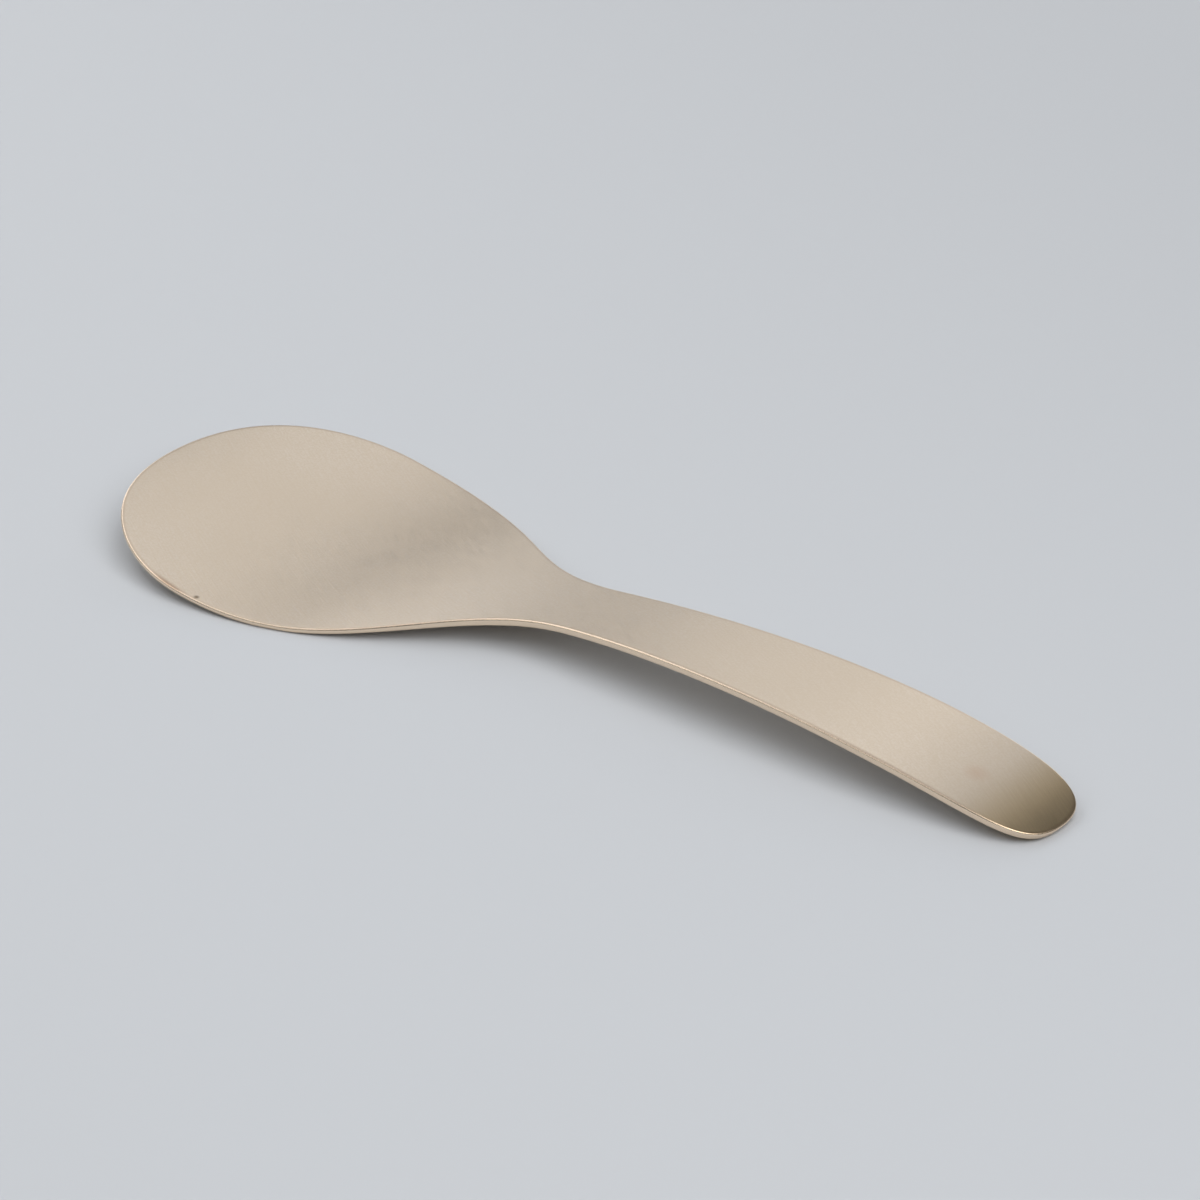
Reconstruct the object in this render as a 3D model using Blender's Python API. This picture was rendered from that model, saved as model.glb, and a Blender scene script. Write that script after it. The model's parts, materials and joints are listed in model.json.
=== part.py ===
"""A one-piece brass rice paddle: egg-shaped blade, narrow neck, arched handle with a rounded end.

Units are metres, +Z is up. The blade's tip points along -X and the handle along +X. The origin is on the
table, under the middle of the paddle, which rests on the belly of its blade and on the end of its handle.
"""

import math

import bmesh
import bpy
from mathutils import Vector
from mathutils.geometry import interpolate_bezier

MM = 0.001

# Outline seen from above: distances are from the blade's tip
LENGTH = 200 * MM
BLADE_WIDTH = 67 * MM
BLADE_WIDEST_AT = 31 * MM
NECK_WIDTH = 17.3 * MM
NECK_AT = 100 * MM
GRIP_WIDTH = 22.8 * MM
GRIP_WIDEST_AT = 170 * MM

# How far the outline holds its direction on either side of each of those places
TIP_BLUNTNESS = 23 * MM
BLADE_HOLD = (14.5 * MM, 37 * MM)
NECK_HOLD = (25.5 * MM, 13 * MM)
GRIP_HOLD = (17.5 * MM, 23.5 * MM)
END_BLUNTNESS = 10.4 * MM

# Side profile: heights of the upper face along the middle of the paddle
TIP_HEIGHT = 8.85 * MM
BELLY_HEIGHT = 1.05 * MM
BELLY_AT = 51.5 * MM
CREST_HEIGHT = 10.1 * MM
CREST_AT = 135 * MM
END_HEIGHT = 1.15 * MM

# How far the profile holds its direction there: the two ends have a slope, as along and down
TIP_SLOPE = (14 * MM, 2.2 * MM)
BELLY_HOLD = (20.5 * MM, 20.5 * MM)
CREST_HOLD = (46 * MM, 32 * MM)
END_SLOPE = (8.7 * MM, 4 * MM)

# Plate: the blade is pressed thinner than the handle, and the sheared wall slants in below the rim
BLADE_THICKNESS = 1.1 * MM
HANDLE_THICKNESS = 1.5 * MM
THINNING_FROM = 90 * MM
THINNING_TO = 60 * MM
UNDERCUT = 0.25 * MM
EDGE_EASE = 0.45 * MM

# Mesh: points along each stretch of the outline, and the shares of the way from the middle to the rim
STRETCH_POINTS = (14, 33, 17, 12)
RIM_SHARES = (0, 0.3, 0.55, 0.75, 0.9, 1)
SLOPE_STEP = 0.5 * MM
SAME_POINT = 0.001 * MM
HALVINGS = 40
EASE_STEPS = 2
EASE_ANGLE = math.radians(45)
SMOOTH_ANGLE = math.radians(30)

# Satin brass
BRASS_COLOUR = (0.88, 0.75, 0.56, 1)
BRASS_ROUGHNESS = 0.35


def clear_scene():
    for obj in list(bpy.data.objects):
        bpy.data.objects.remove(obj)


def half_outline():
    """The outline's four Bezier stretches on one side, as (along the paddle, out from its middle)."""
    tip = Vector((0, 0))
    blade = Vector((BLADE_WIDEST_AT, BLADE_WIDTH / 2))
    neck = Vector((NECK_AT, NECK_WIDTH / 2))
    grip = Vector((GRIP_WIDEST_AT, GRIP_WIDTH / 2))
    end = Vector((LENGTH, 0))
    along = Vector((1, 0))
    out = Vector((0, 1))
    return [
        (tip, tip + TIP_BLUNTNESS * out, blade - BLADE_HOLD[0] * along, blade),
        (blade, blade + BLADE_HOLD[1] * along, neck - NECK_HOLD[0] * along, neck),
        (neck, neck + NECK_HOLD[1] * along, grip - GRIP_HOLD[0] * along, grip),
        (grip, grip + GRIP_HOLD[1] * along, end + END_BLUNTNESS * out, end),
    ]


def side_profile():
    """The profile's three Bezier stretches, as (along the paddle, height of the upper face)."""
    tip = Vector((0, TIP_HEIGHT))
    belly = Vector((BELLY_AT, BELLY_HEIGHT))
    crest = Vector((CREST_AT, CREST_HEIGHT))
    end = Vector((LENGTH, END_HEIGHT))
    along = Vector((1, 0))
    after_tip = tip + Vector((TIP_SLOPE[0], -TIP_SLOPE[1]))
    before_end = end + Vector((-END_SLOPE[0], END_SLOPE[1]))
    return [
        (tip, after_tip, belly - BELLY_HOLD[0] * along, belly),
        (belly, belly + BELLY_HOLD[1] * along, crest - CREST_HOLD[0] * along, crest),
        (crest, crest + CREST_HOLD[1] * along, before_end, end),
    ]


def bezier(stretch, t):
    start, after, before, end = stretch
    s = 1 - t
    return s**3 * start + 3 * s * s * t * after + 3 * s * t * t * before + t**3 * end


def profile_height(along):
    """Height of the upper face's middle: the profile's stretch is halved until it is at this distance."""
    stretches = side_profile()
    stretch = next((s for s in stretches if along <= s[3].x), stretches[-1])
    low, high = 0.0, 1.0
    for _ in range(HALVINGS):
        middle = (low + high) / 2
        if bezier(stretch, middle).x < along:
            low = middle
        else:
            high = middle
    return bezier(stretch, (low + high) / 2).y


def plate_thickness(along):
    share = (along - THINNING_TO) / (THINNING_FROM - THINNING_TO)
    share = min(max(share, 0), 1)
    smooth = share * share * (3 - 2 * share)
    return BLADE_THICKNESS + (HANDLE_THICKNESS - BLADE_THICKNESS) * smooth


def rim_points():
    """The closed outline, from the tip along one side to the end and back along the other."""
    side = []
    for stretch, count in zip(half_outline(), STRETCH_POINTS):
        side += interpolate_bezier(*stretch, count)[:-1]
    side.append(Vector((LENGTH, 0)))
    other_side = [Vector((point.x, -point.y)) for point in side[-2:0:-1]]
    return side + other_side


def spoke(rim, inset):
    """Plan points from the paddle's middle line out to one rim point, or to an inset from it.

    Round the tip and the end the spokes fan out from the middle of the blade and of the grip.
    """
    foot = Vector((min(max(rim.x, BLADE_WIDEST_AT), GRIP_WIDEST_AT), 0))
    edge = rim.lerp(foot, inset / (rim - foot).length)
    return [foot.lerp(edge, share) for share in RIM_SHARES]


def upper_point(point):
    """A point of the upper face: the plan point at the profile's height."""
    return Vector((point.x, point.y, profile_height(point.x)))


def lower_point(point):
    """The point of the underside straight through the plate, or on the table where belly and end meet it."""
    before = max(point.x - SLOPE_STEP, 0)
    after = min(point.x + SLOPE_STEP, LENGTH)
    rise = profile_height(after) - profile_height(before)
    through = Vector((rise, 0, before - after)).normalized()
    lower = upper_point(point) + plate_thickness(point.x) * through
    lower.z = max(0, lower.z)
    return lower


def face_grid(mesh, face_point, inset):
    """One face of the plate: a row of vertices for each spoke, with the rows joined into a closed sheet."""
    middle = Vector((LENGTH / 2, 0, 0))
    rows = []
    for rim in rim_points():
        rows.append([mesh.verts.new(face_point(point) - middle) for point in spoke(rim, inset)])
    for row, next_row in zip(rows, rows[1:] + rows[:1]):
        for i in range(len(row) - 1):
            mesh.faces.new((row[i], row[i + 1], next_row[i + 1], next_row[i]))
    return [row[-1] for row in rows]


def paddle_mesh():
    """Upper face, underside and the wall between their rims, as one closed body."""
    mesh = bmesh.new()
    upper_rim = face_grid(mesh, upper_point, 0)
    lower_rim = face_grid(mesh, lower_point, UNDERCUT)
    for i in range(len(upper_rim)):
        mesh.faces.new((upper_rim[i - 1], lower_rim[i - 1], lower_rim[i], upper_rim[i]))
    bmesh.ops.remove_doubles(mesh, verts=mesh.verts, dist=SAME_POINT)
    bmesh.ops.recalc_face_normals(mesh, faces=mesh.faces)
    data = bpy.data.meshes.new("paddle")
    mesh.to_mesh(data)
    mesh.free()
    data.shade_smooth()
    data.set_sharp_from_angle(angle=SMOOTH_ANGLE)
    return data


def satin_brass():
    material = bpy.data.materials.new("satin_brass")
    material.use_nodes = True
    shader = material.node_tree.nodes["Principled BSDF"]
    shader.inputs["Base Color"].default_value = BRASS_COLOUR
    shader.inputs["Metallic"].default_value = 1
    shader.inputs["Roughness"].default_value = BRASS_ROUGHNESS
    return material


def ease_edges(obj):
    """The sheared edges are rounded over, top and bottom."""
    ease = obj.modifiers.new("eased_edges", "BEVEL")
    ease.width = EDGE_EASE
    ease.segments = EASE_STEPS
    ease.limit_method = "ANGLE"
    ease.angle_limit = EASE_ANGLE


def paddle():
    obj = bpy.data.objects.new("paddle", paddle_mesh())
    obj.data.materials.append(satin_brass())
    ease_edges(obj)
    bpy.context.scene.collection.objects.link(obj)
    return obj


clear_scene()
paddle()
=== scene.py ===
"""A satin brass rice paddle lying on a pale table, seen from the handle's near side.

Metres, +Z up. The blade's tip is at -X, the handle's end at +X, and the table is at Z = 0.
"""

import json
import math

import bpy
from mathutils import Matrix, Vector

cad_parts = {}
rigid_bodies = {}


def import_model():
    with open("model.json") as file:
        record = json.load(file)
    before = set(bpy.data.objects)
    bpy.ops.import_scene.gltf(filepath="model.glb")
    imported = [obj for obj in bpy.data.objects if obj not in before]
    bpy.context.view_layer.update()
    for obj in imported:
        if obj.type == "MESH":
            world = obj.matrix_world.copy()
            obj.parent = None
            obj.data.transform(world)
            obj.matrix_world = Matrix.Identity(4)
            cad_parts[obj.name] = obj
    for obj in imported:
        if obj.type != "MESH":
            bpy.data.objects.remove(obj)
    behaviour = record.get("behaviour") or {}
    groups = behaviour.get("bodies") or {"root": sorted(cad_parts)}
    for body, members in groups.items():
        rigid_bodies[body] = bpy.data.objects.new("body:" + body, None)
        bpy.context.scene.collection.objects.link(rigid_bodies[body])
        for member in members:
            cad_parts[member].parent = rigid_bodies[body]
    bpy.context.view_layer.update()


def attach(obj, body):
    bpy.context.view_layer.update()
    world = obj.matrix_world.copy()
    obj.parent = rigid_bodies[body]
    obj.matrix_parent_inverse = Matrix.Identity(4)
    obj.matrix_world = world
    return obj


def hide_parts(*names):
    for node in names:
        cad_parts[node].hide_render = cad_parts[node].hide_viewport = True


MM = 0.001

# Outline seen from above: distances are from the blade's tip
LENGTH = 200 * MM
BLADE_WIDTH = 67 * MM
BLADE_WIDEST_AT = 31 * MM
NECK_WIDTH = 17.3 * MM
NECK_AT = 100 * MM
GRIP_WIDTH = 22.8 * MM
GRIP_WIDEST_AT = 170 * MM

# How far the outline holds its direction on either side of each of those places
TIP_BLUNTNESS = 23 * MM
BLADE_HOLD = (14.5 * MM, 37 * MM)
NECK_HOLD = (25.5 * MM, 13 * MM)
GRIP_HOLD = (17.5 * MM, 23.5 * MM)
END_BLUNTNESS = 10.4 * MM

# Side profile: heights of the upper face along the middle of the paddle
TIP_HEIGHT = 8.85 * MM
BELLY_HEIGHT = 1.05 * MM
BELLY_AT = 51.5 * MM
CREST_HEIGHT = 10.1 * MM
CREST_AT = 135 * MM
END_HEIGHT = 1.15 * MM

# How far the profile holds its direction there: the two ends have a slope, as along and down
TIP_SLOPE = (14 * MM, 2.2 * MM)
BELLY_HOLD = (20.5 * MM, 20.5 * MM)
CREST_HOLD = (46 * MM, 32 * MM)
END_SLOPE = (8.7 * MM, 4 * MM)

# Plate: the blade is pressed thinner than the handle, and the sheared wall slants in below the rim
BLADE_THICKNESS = 1.1 * MM
HANDLE_THICKNESS = 1.5 * MM
THINNING_FROM = 90 * MM
THINNING_TO = 60 * MM
UNDERCUT = 0.25 * MM
EDGE_EASE = 0.45 * MM

# Mesh: how finely curves, rim, faces and eased edges are divided, and the room round the former
CURVE_STEPS = 1000
RIM_POINTS = 900
RINGS = 22
EASE_STEPS = 5
EASE_ANGLE = math.radians(45)
SAME_POINT = 0.001 * MM
FORMER_WIDTH = 100 * MM
RAY_HEIGHT = 100 * MM

# Colours, sRGB: the metal, where it is darker, the handle's end with a painted darker reflection, the cut
# rim, its marks and painted shade, and the table
BRASS = "#F3E6D7"
BRASS_DEEP = "#E9D9C4"
# Painted reflection: the handle's end darker and browner, as it mirrors a warm dim room
BRASS_END_REFLECTION = "#DCC7A2"
BRASS_RIM = "#F2DDC4"
COPPER_STAIN = "#DDBDA2"
# Brush lines and painted shade: worn lines at the end, a painted dark line inside the rim, painted shade by
# the blade's near rim
DARK_LINES_AND_SHADE = "#B4957A"
PIT = "#7A644A"
TABLE = "#CACDD1"

# Brushing: the lines' direction from the paddle's length, their size, and the grain and clouds between them
BRUSH_TURN = math.radians(-27)
LINE_LENGTH = 6 * MM
LINE_WIDTH = 0.3 * MM
LINE_DEPTH = 0.008 * MM
GRAIN_SIZE = 0.4 * MM
CLOUD_SIZE = 30 * MM

# How much finer detail each of those patterns has, and which part of the noise makes its full contrast
LINE_DETAIL = 3
CLOUD_DETAIL = 2
GRAIN_DETAIL = 1
LINE_CONTRAST = (0.3, 0.7)
SPOT_CONTRAST = (0.35, 0.65)

# Shine: roughness of the brushed faces and of the eased rim, and how much wider it is across the lines
BRUSHED = 0.34
ROUGH_CHANGE = 0.04
RIM_ROUGH = 0.2
CROSS_SPREAD = 0.8

# Marks and painted light: the width of the rim and of its painted dark line, the handle's end with its
# painted reflection and worn lines, pits, a stain, a nick, and painted shade by the blade's near rim
RIM_LINE = 0.45 * MM
# Where the handle's end goes over to its painted reflection and its worn lines
END_TONE_FROM = 84 * MM
END_TONE_TO = 96 * MM
SPECK_SPACING = 9 * MM
SPECK_SIZE = 0.4 * MM
SPECK_SHARE = 0.12
STAIN_AT = Vector((83.5, -1.5, 5)) * MM
STAIN_REACH = 3.5 * MM
NICK_AT = Vector((-64.6, -32.3, 2.1)) * MM
NICK_REACH = 0.85 * MM
# Painted shade by the blade's near rim, where the face rolls down: its middle, reach and width
RIM_ROLL_AT = Vector((-71, -32.3, 3.1)) * MM
RIM_ROLL_REACH = 6 * MM
RIM_ROLL_WIDTH = 1.6 * MM

# How far each of them changes the colour where it is strongest
CLOUD_TINT = 0.5
LINE_TINT = 0.6
GRAIN_TINT = 0.8
WORN_TINT = 0.28
STAIN_TINT = 0.45
# Painted shade by the blade's near rim
RIM_ROLL_TINT = 0.9
# Painted dark line inside the rim
RIM_SHADE_TINT = 0.4
NICK_TINT = 0.85
FULL_TINT = 1

# Table
TABLE_RADIUS = 550 * MM
TABLE_POINTS = 128
TABLE_GAP = 0.05 * MM
TABLE_ROUGHNESS = 0.9

# Room: pale up to one height over the horizon and dim from another, and its soft light on matt things
PALE_TO = math.radians(4)
DIM_FROM = math.radians(14)
DIM_ROOM = 0.04
SOFT_ROOM = 0.2

# Camera: a long lens looking down at the table, its turn and pitch in degrees
CAMERA_AIM = Vector((-10, 15.4, 0)) * MM
CAMERA_TURN = 38.86
CAMERA_PITCH = 28
CAMERA_DISTANCE = 797 * MM
CAMERA_LENS = 132.6
CAMERA_SENSOR = 36
CAMERA_NEAREST = 10 * MM

# Soft panels: turn and rise in degrees and distance, as the camera looks, then size, then brightness
PANELS = {
    "side_window": ((-65, 46, 0.65), (0.4, 0.45), 1.4),
    "back_left": ((-30, 27, 0.65), (0.21, 0.56), 1.7),
    "back_low": ((-10, 13, 0.65), (0.22, 0.29), 0.27),
    "back_high": ((-10, 42, 0.65), (0.22, 0.26), 0.2),
    "back_right": ((10, 32, 0.65), (0.21, 0.8), 0.68),
    "back_top": ((0, 62, 0.65), (0.5, 0.22), 0.42),
    "low_right": ((32, 18, 0.65), (0.23, 0.4), 1.15),
    "left_low": ((-95, 30, 0.65), (0.2, 0.25), 1.05),
    "front_left": ((-125, 40, 0.65), (0.3, 0.3), 0.95),
    "front_right": ((150, 50, 0.9), (0.9, 0.7), 2.8),
    "overhead": ((-95, 66, 0.65), (0.4, 0.3), 0.4),
    "zenith": ((90, 84, 0.65), (0.35, 0.3), 1.15),
}

# The places of the outline and of the profile: where each is, and its holds before and after it
OUTLINE = {
    "Tip": ((0, 0, 0), (0, 0, 0), (0, TIP_BLUNTNESS, 0)),
    "Blade": ((BLADE_WIDEST_AT, BLADE_WIDTH / 2, 0), (-BLADE_HOLD[0], 0, 0), (BLADE_HOLD[1], 0, 0)),
    "Neck": ((NECK_AT, NECK_WIDTH / 2, 0), (-NECK_HOLD[0], 0, 0), (NECK_HOLD[1], 0, 0)),
    "Grip": ((GRIP_WIDEST_AT, GRIP_WIDTH / 2, 0), (-GRIP_HOLD[0], 0, 0), (GRIP_HOLD[1], 0, 0)),
    "End": ((LENGTH, 0, 0), (0, END_BLUNTNESS, 0), (0, 0, 0)),
}
PROFILE = {
    "Tip Height": ((0, 0, TIP_HEIGHT), (0, 0, 0), (TIP_SLOPE[0], 0, -TIP_SLOPE[1])),
    "Belly": ((BELLY_AT, 0, BELLY_HEIGHT), (-BELLY_HOLD[0], 0, 0), (BELLY_HOLD[1], 0, 0)),
    "Crest": ((CREST_AT, 0, CREST_HEIGHT), (-CREST_HOLD[0], 0, 0), (CREST_HOLD[1], 0, 0)),
    "End Height": ((LENGTH, 0, END_HEIGHT), (-END_SLOPE[0], 0, END_SLOPE[1]), (0, 0, 0)),
}
SIZES = {
    "Length": LENGTH,
    "Fan From": BLADE_WIDEST_AT,
    "Fan To": GRIP_WIDEST_AT,
    "Blade Thickness": BLADE_THICKNESS,
    "Handle Thickness": HANDLE_THICKNESS,
    "Thinning From": THINNING_FROM,
    "Thinning To": THINNING_TO,
    "Undercut": UNDERCUT,
    "Edge Ease": EDGE_EASE,
}


def clear_scene():
    for obj in list(bpy.data.objects):
        bpy.data.objects.remove(obj)


def linear(colour):
    """An sRGB hex colour as linear red, green, blue and full alpha."""
    parts = [int(colour[i:i + 2], 16) / 255 for i in (1, 3, 5)]
    return [p / 12.92 if p <= 0.04045 else ((p + 0.055) / 1.055) ** 2.4 for p in parts] + [1]


def add(tree, kind, links=None, **settings):
    """Adds a node with its settings. Its inputs, by name or number, are linked or set to a value."""
    node = tree.nodes.new(kind)
    for name, value in settings.items():
        setattr(node, name, value)
    for name, value in (links or {}).items():
        if isinstance(value, bpy.types.Node):
            value = value.outputs[0]
        if isinstance(value, bpy.types.NodeSocket):
            tree.links.new(value, node.inputs[name])
        else:
            node.inputs[name].default_value = value
    return node


def place_inputs(places):
    """The named inputs of a curve's places: where each is, and its holds before and after it."""
    inputs = {}
    for name, (place, before, after) in places.items():
        inputs[name] = place
        inputs[name + " Before"] = before
        inputs[name + " After"] = after
    return inputs


def stretches(tree, sizes, places):
    """One curve through a row of places. What is joined last comes first, so the row is reversed."""
    names = list(places)
    joined = add(tree, "GeometryNodeJoinGeometry")
    for start, end in reversed(list(zip(names, names[1:]))):
        stretch = add(tree, "GeometryNodeCurvePrimitiveBezierSegment", {
            "Resolution": CURVE_STEPS,
            "Start": sizes[start],
            "Start Handle": sizes[start + " After"],
            "End Handle": sizes[end + " Before"],
            "End": sizes[end],
        }, mode="OFFSET")
        tree.links.new(stretch.outputs[0], joined.inputs[0])
    return joined


def former(tree, sizes):
    """The face of the pressing tool: the side profile drawn out sideways into a curved sheet."""
    line = add(tree, "GeometryNodeCurveToMesh", {"Curve": stretches(tree, sizes, PROFILE)})
    one_side = add(tree, "GeometryNodeTransform", {
        "Geometry": line, "Translation": (0, -FORMER_WIDTH / 2, 0),
    })
    sideways = add(tree, "ShaderNodeCombineXYZ", {"Y": FORMER_WIDTH})
    return add(tree, "GeometryNodeExtrudeMesh", {"Mesh": one_side, "Offset": sideways}, mode="EDGES")


def rim_spoke(tree, sizes, around):
    """A place on the outline, and the spoke to it from the middle line.

    Round the tip and the end the spokes fan out from the middle of the blade and of the grip.
    """
    share_along = add(tree, "ShaderNodeMath", {0: around, 1: 2}, operation="MULTIPLY")
    share_along = add(tree, "ShaderNodeMath", {0: share_along}, operation="ABSOLUTE")
    rim = add(tree, "GeometryNodeSampleCurve", {
        "Curves": stretches(tree, sizes, OUTLINE), "Factor": share_along,
    }, mode="FACTOR", use_all_curves=True).outputs["Position"]
    side = add(tree, "ShaderNodeMath", {0: around}, operation="SIGN")
    side = add(tree, "ShaderNodeCombineXYZ", {"X": 1, "Y": side, "Z": 1})
    rim = add(tree, "ShaderNodeVectorMath", {0: rim, 1: side}, operation="MULTIPLY")
    rim_x = add(tree, "ShaderNodeSeparateXYZ", {0: rim})
    foot_x = add(tree, "ShaderNodeClamp", {
        "Value": rim_x, "Min": sizes["Fan From"], "Max": sizes["Fan To"],
    })
    foot = add(tree, "ShaderNodeCombineXYZ", {"X": foot_x})
    spoke = add(tree, "ShaderNodeVectorMath", {0: rim, 1: foot}, operation="SUBTRACT")
    return rim, spoke


def blank(tree, sizes, around, ring, underneath):
    """Plan of the flat blank, ring by ring along its spokes, and each point's inset from the rim.

    The ring next to the rim keeps its distance from it, so that the eased edge has room. The underside is cut
    a little smaller.
    """
    rim, spoke = rim_spoke(tree, sizes, around)
    reach = add(tree, "ShaderNodeVectorMath", {0: spoke}, operation="LENGTH").outputs["Value"]
    room = add(tree, "ShaderNodeMath", {0: sizes["Edge Ease"], 1: 2}, operation="MULTIPLY")
    inset = add(tree, "ShaderNodeMapRange", {
        "Value": ring, "From Min": 0, "From Max": RINGS - 1, "To Min": reach, "To Max": room,
    })
    off_rim = add(tree, "ShaderNodeMath", {0: ring, 1: RINGS - 0.5}, operation="LESS_THAN")
    inset = add(tree, "ShaderNodeMath", {0: inset, 1: off_rim}, operation="MULTIPLY")
    undercut = add(tree, "ShaderNodeMath", {0: sizes["Undercut"], 1: underneath}, operation="MULTIPLY")
    pulled_in = add(tree, "ShaderNodeMapRange", {
        "Value": inset, "From Min": 0, "From Max": reach, "To Min": undercut, "To Max": reach,
    })
    share_in = add(tree, "ShaderNodeMath", {0: pulled_in, 1: reach}, operation="DIVIDE")
    back = add(tree, "ShaderNodeVectorMath", {0: spoke, "Scale": share_in}, operation="SCALE")
    plan = add(tree, "ShaderNodeVectorMath", {0: rim, 1: back}, operation="SUBTRACT")
    return plan, inset


def upper_face(tree, sizes, plan):
    """The upper face, where the blank is pressed down onto the former, and the direction out of it."""
    over_former = add(tree, "ShaderNodeMath", {0: sizes["Length"], 1: SAME_POINT}, operation="SUBTRACT")
    along = add(tree, "ShaderNodeSeparateXYZ", {0: plan})
    along = add(tree, "ShaderNodeClamp", {"Value": along, "Min": SAME_POINT, "Max": over_former})
    above = add(tree, "ShaderNodeCombineXYZ", {"X": along, "Z": RAY_HEIGHT})
    pressed = add(tree, "GeometryNodeRaycast", {
        "Target Geometry": former(tree, sizes), "Source Position": above,
        "Ray Direction": (0, 0, -1), "Ray Length": 2 * RAY_HEIGHT,
    })
    height = add(tree, "ShaderNodeSeparateXYZ", {0: pressed.outputs["Hit Position"]}).outputs["Z"]
    raised = add(tree, "ShaderNodeCombineXYZ", {"Z": height})
    upper = add(tree, "ShaderNodeVectorMath", {0: plan, 1: raised}, operation="ADD")
    facing = add(tree, "ShaderNodeSeparateXYZ", {0: pressed.outputs["Hit Normal"]})
    facing = add(tree, "ShaderNodeMath", {0: facing.outputs["Z"]}, operation="SIGN")
    outward = add(tree, "ShaderNodeVectorMath", {
        0: pressed.outputs["Hit Normal"], "Scale": facing,
    }, operation="SCALE")
    return upper, outward


def underside(tree, sizes, upper, outward):
    """The underside: one plate thickness straight through, or on the table where belly and end meet it."""
    along = add(tree, "ShaderNodeSeparateXYZ", {0: upper})
    thickness = add(tree, "ShaderNodeMapRange", {
        "Value": along, "From Min": sizes["Thinning To"], "From Max": sizes["Thinning From"],
        "To Min": sizes["Blade Thickness"], "To Max": sizes["Handle Thickness"],
    }, interpolation_type="SMOOTHSTEP")
    through = add(tree, "ShaderNodeVectorMath", {0: outward, "Scale": thickness}, operation="SCALE")
    lower = add(tree, "ShaderNodeVectorMath", {0: upper, 1: through}, operation="SUBTRACT")
    return add(tree, "ShaderNodeVectorMath", {0: lower, 1: (-LENGTH, -LENGTH, 0)}, operation="MAXIMUM")


def press_tree(material):
    """The paddle as it is made: a blank, cut to its outline, is pressed onto a former.

    One sheet of points is wrapped round the plate. Its X runs round the rim, from the end by the tip to the
    end, and its Y from the middle of the upper face out to the rim and back to the middle of the underside.
    """
    tree = bpy.data.node_groups.new("pressed_paddle", "GeometryNodeTree")
    tree.interface.new_socket("Geometry", in_out="OUTPUT", socket_type="NodeSocketGeometry")
    for name in {**place_inputs(OUTLINE), **place_inputs(PROFILE)}:
        tree.interface.new_socket(name, in_out="INPUT", socket_type="NodeSocketVector")
    for name in SIZES:
        tree.interface.new_socket(name, in_out="INPUT", socket_type="NodeSocketFloat")
    sizes = add(tree, "NodeGroupInput").outputs

    sheet = add(tree, "GeometryNodeMeshGrid", {
        "Size X": 1, "Size Y": 1, "Vertices X": RIM_POINTS + 1, "Vertices Y": 2 * RINGS + 2,
    })
    on_sheet = add(tree, "ShaderNodeSeparateXYZ", {0: add(tree, "GeometryNodeInputPosition")})
    across = on_sheet.outputs["Y"]
    to_edge = add(tree, "ShaderNodeMath", {0: across}, operation="ABSOLUTE")
    to_edge = add(tree, "ShaderNodeMath", {0: 0.5, 1: to_edge}, operation="SUBTRACT")
    ring = add(tree, "ShaderNodeMath", {0: to_edge, 1: 2 * RINGS + 1}, operation="MULTIPLY")
    underneath = add(tree, "ShaderNodeMath", {0: across, 1: 0}, operation="GREATER_THAN")
    plan, inset = blank(tree, sizes, on_sheet.outputs["X"], ring, underneath)

    upper, outward = upper_face(tree, sizes, plan)
    lower = underside(tree, sizes, upper, outward)
    place = add(tree, "ShaderNodeMix", {
        "Factor": underneath, 4: upper, 5: lower,
    }, data_type="VECTOR").outputs[1]
    half = add(tree, "ShaderNodeVectorMath", {0: (0.5, 0, 0), "Scale": sizes["Length"]}, operation="SCALE")
    place = add(tree, "ShaderNodeVectorMath", {0: place, 1: half}, operation="SUBTRACT")

    marked = add(tree, "GeometryNodeStoreNamedAttribute", {
        "Geometry": sheet, "Name": "from_rim", "Value": inset,
    }, data_type="FLOAT", domain="POINT")
    placed = add(tree, "GeometryNodeSetPosition", {"Geometry": marked, "Position": place})
    closed = add(tree, "GeometryNodeMergeByDistance", {"Geometry": placed, "Distance": SAME_POINT})
    smooth = add(tree, "GeometryNodeSetShadeSmooth", {"Geometry": closed})
    realized = add(tree, "GeometryNodeRealizeInstances", {"Geometry": smooth})
    finished = add(tree, "GeometryNodeSetMaterial", {"Geometry": realized, "Material": material})
    add(tree, "NodeGroupOutput", {0: finished})
    return tree


def set_inputs(modifier, values):
    for item in modifier.node_group.interface.items_tree:
        if item.in_out == "INPUT":
            modifier[item.identifier] = values[item.name]


def paddle(material):
    """The pressed plate with its sheared edges rounded over, as one plain mesh."""
    maker = bpy.data.objects.new("paddle_maker", bpy.data.meshes.new("paddle_maker"))
    bpy.context.scene.collection.objects.link(maker)
    press = maker.modifiers.new("press", "NODES")
    press.node_group = press_tree(material)
    set_inputs(press, {**place_inputs(OUTLINE), **place_inputs(PROFILE), **SIZES})
    ease = maker.modifiers.new("eased_edges", "BEVEL")
    ease.width = EDGE_EASE
    ease.segments = EASE_STEPS
    ease.limit_method = "ANGLE"
    ease.angle_limit = EASE_ANGLE
    evaluated = maker.evaluated_get(bpy.context.evaluated_depsgraph_get())
    mesh = bpy.data.meshes.new_from_object(evaluated)
    bpy.data.objects.remove(maker)
    mesh.name = "brass_paddle"
    mesh.materials.clear()
    mesh.materials.append(material)
    obj = bpy.data.objects.new("brass_paddle", mesh)
    bpy.context.scene.collection.objects.link(obj)
    return obj


def mottled(tree, place, scale, detail, contrast):
    """A cloudy pattern from 0 to 1."""
    noise = add(tree, "ShaderNodeTexNoise", {"Vector": place, "Scale": scale, "Detail": detail})
    return add(tree, "ShaderNodeMapRange", {
        "Value": noise, "From Min": contrast[0], "From Max": contrast[1],
    })


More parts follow.
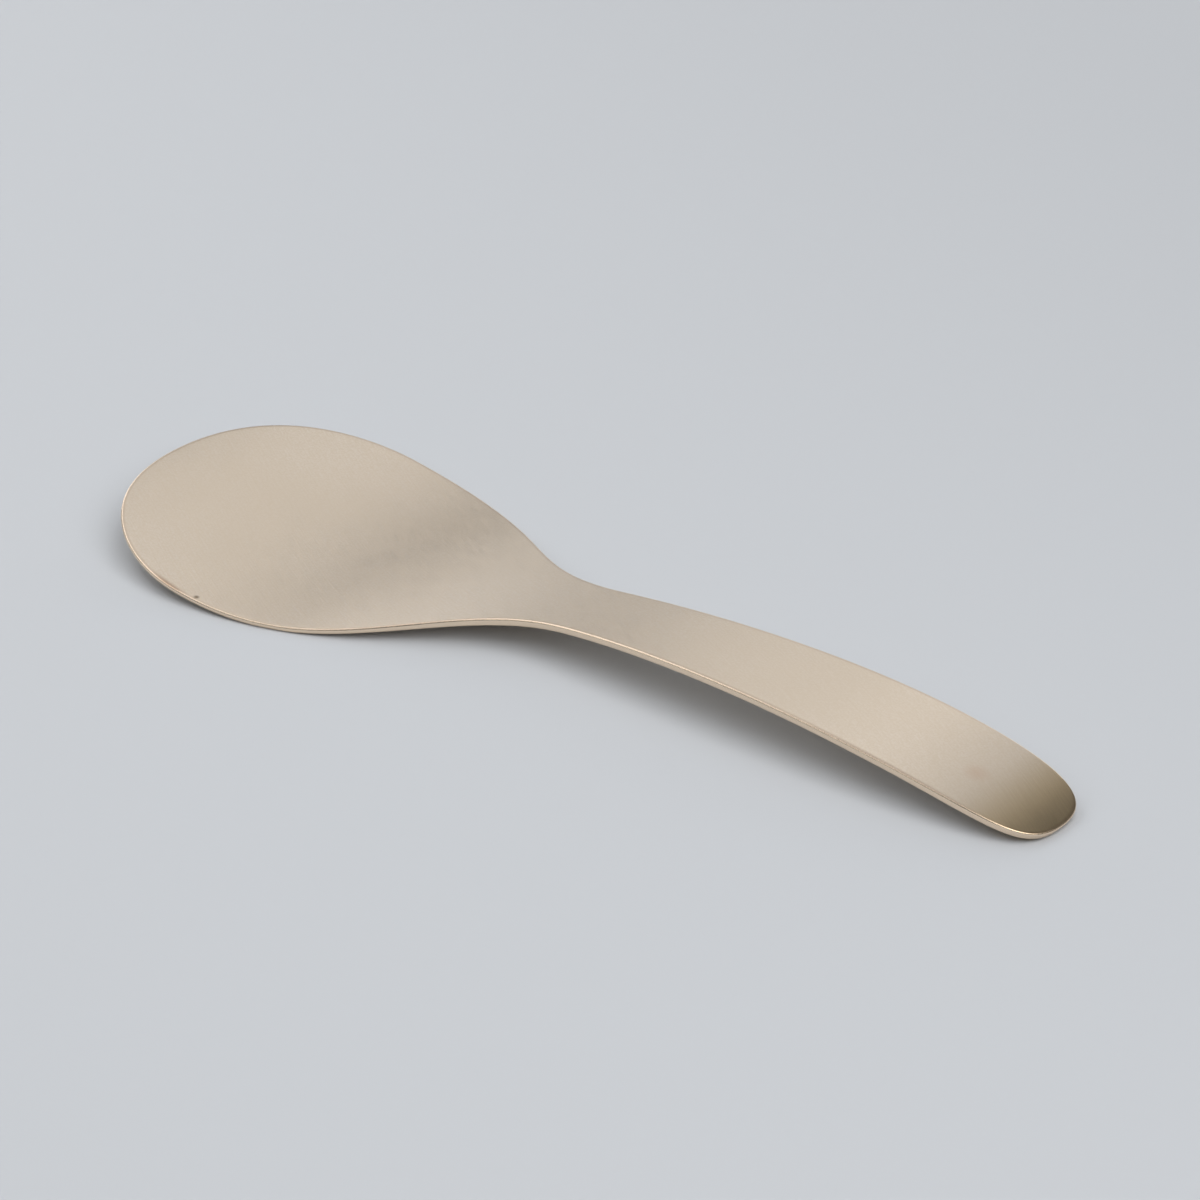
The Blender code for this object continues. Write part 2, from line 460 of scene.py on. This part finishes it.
def brush_lines(tree, position):
    """The brush's scratches: a pattern drawn out along one direction."""
    along_lines = add(tree, "ShaderNodeMapping", {
        "Vector": position, "Rotation": (0, 0, BRUSH_TURN), "Scale": (LINE_LENGTH, LINE_WIDTH, LENGTH),
    }, vector_type="TEXTURE")
    return mottled(tree, along_lines, 1, LINE_DETAIL, LINE_CONTRAST)


def fading(tree, away, reach, curve="LINEAR"):
    """1 where the distance away is nothing, going to 0 at its reach."""
    return add(tree, "ShaderNodeMapRange", {
        "Value": away, "From Min": 0, "From Max": reach, "To Min": 1, "To Max": 0,
    }, interpolation_type=curve)


def near(tree, position, place, reach):
    """How near the surface is to one place."""
    away = add(tree, "ShaderNodeVectorMath", {0: position, 1: place}, operation="DISTANCE")
    return fading(tree, away.outputs["Value"], reach, "SMOOTHERSTEP")


def specks(tree, position):
    """Small pits, 1 where one is: a few of the pattern's cells have one in their middle."""
    cells = add(tree, "ShaderNodeTexVoronoi", {"Vector": position, "Scale": 1 / SPECK_SPACING})
    size = add(tree, "ShaderNodeMapRange", {
        "Value": cells.outputs["Distance"], "From Min": SPECK_SIZE / SPECK_SPACING / 2,
        "From Max": SPECK_SIZE / SPECK_SPACING, "To Min": 1, "To Max": 0,
    })
    luck = add(tree, "ShaderNodeSeparateColor", {0: cells.outputs["Color"]})
    chosen = add(tree, "ShaderNodeMath", {0: luck, 1: SPECK_SHARE}, operation="LESS_THAN")
    return add(tree, "ShaderNodeMath", {0: size, 1: chosen}, operation="MULTIPLY")


def rim_shade_line(tree, from_rim):
    """A painted dark line just inside the rim: painted shade where the eased edge faces the dim room above.
    """
    beside = add(tree, "ShaderNodeMath", {0: from_rim, 1: RIM_LINE}, operation="SUBTRACT")
    beside = add(tree, "ShaderNodeMath", {0: beside}, operation="ABSOLUTE")
    return fading(tree, beside, RIM_LINE)


def rim_roll_shade(tree, position, from_rim):
    """Painted shade along a stretch of the blade's near rim, where its face rolls down to the edge."""
    beside_rim = fading(tree, from_rim, RIM_ROLL_WIDTH, "SMOOTHSTEP")
    close = near(tree, position, RIM_ROLL_AT, RIM_ROLL_REACH)
    return add(tree, "ShaderNodeMath", {0: close, 1: beside_rim}, operation="MULTIPLY")


def tinted(tree, colour, tint, share, amount):
    """A colour that goes over to a tint, by the share of it at each point."""
    share = add(tree, "ShaderNodeMath", {0: share, 1: amount}, operation="MULTIPLY")
    return add(tree, "ShaderNodeMix", {
        "Factor": share, 6: colour, 7: linear(tint),
    }, data_type="RGBA").outputs[2]


def brass_colour(tree, position, from_rim, lines, rim):
    """Pale brass, deeper in its clouds, lines and grain, painted darker and browner at the handle's end as
    its reflection, marked by use, and with painted shade by the rim.
    """
    along = add(tree, "ShaderNodeSeparateXYZ", {0: position})
    end_share = add(tree, "ShaderNodeMapRange", {
        "Value": along, "From Min": END_TONE_FROM, "From Max": END_TONE_TO,
    }, interpolation_type="SMOOTHSTEP")
    worn_lines = add(tree, "ShaderNodeMath", {0: lines, 1: end_share}, operation="MULTIPLY")
    clouds = mottled(tree, position, 1 / CLOUD_SIZE, CLOUD_DETAIL, SPOT_CONTRAST)
    grain = mottled(tree, position, 1 / GRAIN_SIZE, GRAIN_DETAIL, SPOT_CONTRAST)
    tints = [
        (BRASS_DEEP, clouds, CLOUD_TINT),
        (BRASS_DEEP, lines, LINE_TINT),
        (BRASS_DEEP, grain, GRAIN_TINT),
        # Painted reflection: the handle's end darker and browner
        (BRASS_END_REFLECTION, end_share, FULL_TINT),
        (DARK_LINES_AND_SHADE, worn_lines, WORN_TINT),
        (COPPER_STAIN, near(tree, position, STAIN_AT, STAIN_REACH), STAIN_TINT),
        # Painted shade by the blade's near rim, where its face rolls down
        (DARK_LINES_AND_SHADE, rim_roll_shade(tree, position, from_rim), RIM_ROLL_TINT),
        (BRASS_RIM, rim, FULL_TINT),
        # Painted shade: a dark line just inside the rim
        (DARK_LINES_AND_SHADE, rim_shade_line(tree, from_rim), RIM_SHADE_TINT),
        (PIT, specks(tree, position), FULL_TINT),
        (PIT, near(tree, position, NICK_AT, NICK_REACH), NICK_TINT),
    ]
    colour = linear(BRASS)
    for tint, share, amount in tints:
        colour = tinted(tree, colour, tint, share, amount)
    return colour


def brushed_brass():
    """Brass sheet, pressed and then brushed by hand with a fine abrasive, slantwise over the length.

    The lines spread the reflection across them, so the room shows as one soft pale sheen. The eased rim is
    smoother and redder, so it glints, and a painted dark line runs inside it, as painted shade on the eased
    edge.
    Handling has left clouds, pits, a stain, a nick and worn lines at the end. The end is also painted darker
    and browner as its reflection, and painted shade darkens a stretch of the blade's near rim. Lines and
    grain are drawn coarser than the abrasive's own, which would be too fine to show.
    """
    material = bpy.data.materials.new("brushed_brass")
    material.use_nodes = True
    tree = material.node_tree
    shader = tree.nodes["Principled BSDF"]
    shader.inputs["Metallic"].default_value = 1
    shader.inputs["Anisotropic"].default_value = CROSS_SPREAD
    position = add(tree, "ShaderNodeTexCoord").outputs["Object"]
    from_rim = add(tree, "ShaderNodeAttribute", attribute_name="from_rim").outputs["Fac"]
    lines = brush_lines(tree, position)
    rim = fading(tree, from_rim, RIM_LINE)
    tree.links.new(brass_colour(tree, position, from_rim, lines, rim), shader.inputs["Base Color"])

    rough = add(tree, "ShaderNodeMapRange", {
        "Value": lines, "To Min": BRUSHED - ROUGH_CHANGE, "To Max": BRUSHED + ROUGH_CHANGE,
    })
    rough = add(tree, "ShaderNodeMix", {"Factor": rim, 2: rough, 3: RIM_ROUGH})
    tree.links.new(rough.outputs[0], shader.inputs["Roughness"])
    bump = add(tree, "ShaderNodeBump", {"Strength": 1, "Distance": LINE_DEPTH, "Height": lines})
    tree.links.new(bump.outputs[0], shader.inputs["Normal"])
    across_lines = add(tree, "ShaderNodeCombineXYZ", {
        "X": -math.sin(BRUSH_TURN), "Y": math.cos(BRUSH_TURN),
    })
    tangent = add(tree, "ShaderNodeVectorTransform", {
        "Vector": across_lines,
    }, vector_type="VECTOR", convert_from="OBJECT", convert_to="WORLD")
    tree.links.new(tangent.outputs[0], shader.inputs["Tangent"])
    return material


def table_material():
    """Board with rolled-on matt paint: no gloss, so the eye sees an even pale ground and soft shadows."""
    material = bpy.data.materials.new("pale_table")
    material.use_nodes = True
    shader = material.node_tree.nodes["Principled BSDF"]
    shader.inputs["Base Color"].default_value = linear(TABLE)
    shader.inputs["Roughness"].default_value = TABLE_ROUGHNESS
    return material


def table():
    """A round table top, just under the paddle. It ends where the light on it does."""
    turns = [2 * math.pi * i / TABLE_POINTS for i in range(TABLE_POINTS)]
    rim = [(TABLE_RADIUS * math.cos(turn), TABLE_RADIUS * math.sin(turn), -TABLE_GAP) for turn in turns]
    mesh = bpy.data.meshes.new("table")
    mesh.from_pydata(rim, [], [tuple(range(TABLE_POINTS))])
    mesh.materials.append(table_material())
    obj = bpy.data.objects.new("table", mesh)
    bpy.context.scene.collection.objects.link(obj)


def seen_from_camera(turn, rise, distance):
    """A point round the aim: turn is to the right of straight behind it as the camera looks, rise is up."""
    angle = math.radians(CAMERA_TURN - turn)
    level = Vector((-math.sin(angle), math.cos(angle), 0))
    up = math.radians(rise)
    return CAMERA_AIM + distance * (math.cos(up) * level + Vector((0, 0, math.sin(up))))


def look_at(obj, target):
    obj.rotation_euler = (target - obj.location).to_track_quat("-Z", "Y").to_euler()


def panel(name, place, size, brightness):
    """A rectangular soft light that faces the paddle. Its power follows from its size and its brightness."""
    light = bpy.data.lights.new(name, "AREA")
    light.shape = "RECTANGLE"
    light.size, light.size_y = size
    light.energy = math.pi * size[0] * size[1] * brightness
    obj = bpy.data.objects.new(name, light)
    obj.location = seen_from_camera(*place)
    look_at(obj, CAMERA_AIM)
    bpy.context.scene.collection.objects.link(obj)


def lights():
    for name, (place, size, brightness) in PANELS.items():
        panel(name, place, size, brightness)


def surroundings():
    """A dim room. Round the horizon it is as pale as the table, for the camera and in the metal."""
    world = bpy.data.worlds.new("room")
    world.use_nodes = True
    tree = world.node_tree
    background = tree.nodes["Background"]
    background.inputs["Color"].default_value = linear(TABLE)
    direction = add(tree, "ShaderNodeTexCoord").outputs["Generated"]
    rise = add(tree, "ShaderNodeSeparateXYZ", {0: direction}).outputs["Z"]
    strip = add(tree, "ShaderNodeMapRange", {
        "Value": rise, "From Min": math.sin(PALE_TO), "From Max": math.sin(DIM_FROM),
        "To Min": 1, "To Max": DIM_ROOM,
    }, interpolation_type="SMOOTHSTEP")
    ray = add(tree, "ShaderNodeLightPath")
    seen = add(tree, "ShaderNodeMath", {
        0: ray.outputs["Is Camera Ray"], 1: ray.outputs["Is Glossy Ray"],
    }, operation="MAXIMUM")
    seen = add(tree, "ShaderNodeMath", {0: seen, 1: ray.outputs["Is Transmission Ray"]}, operation="MAXIMUM")
    strength = add(tree, "ShaderNodeMapRange", {"Value": seen, "To Min": SOFT_ROOM, "To Max": strip})
    tree.links.new(strength.outputs[0], background.inputs["Strength"])
    bpy.context.scene.world = world


def camera():
    data = bpy.data.cameras.new("camera")
    data.lens = CAMERA_LENS
    data.sensor_width = CAMERA_SENSOR
    data.clip_start = CAMERA_NEAREST
    obj = bpy.data.objects.new("camera", data)
    obj.location = seen_from_camera(180, CAMERA_PITCH, CAMERA_DISTANCE)
    look_at(obj, CAMERA_AIM)
    bpy.context.scene.collection.objects.link(obj)
    bpy.context.scene.camera = obj


clear_scene()
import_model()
bpy.context.scene.view_settings.view_transform = "Standard"
camera()
lights()
surroundings()
table()
piece = paddle(brushed_brass())
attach(piece, "root")
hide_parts("paddle")
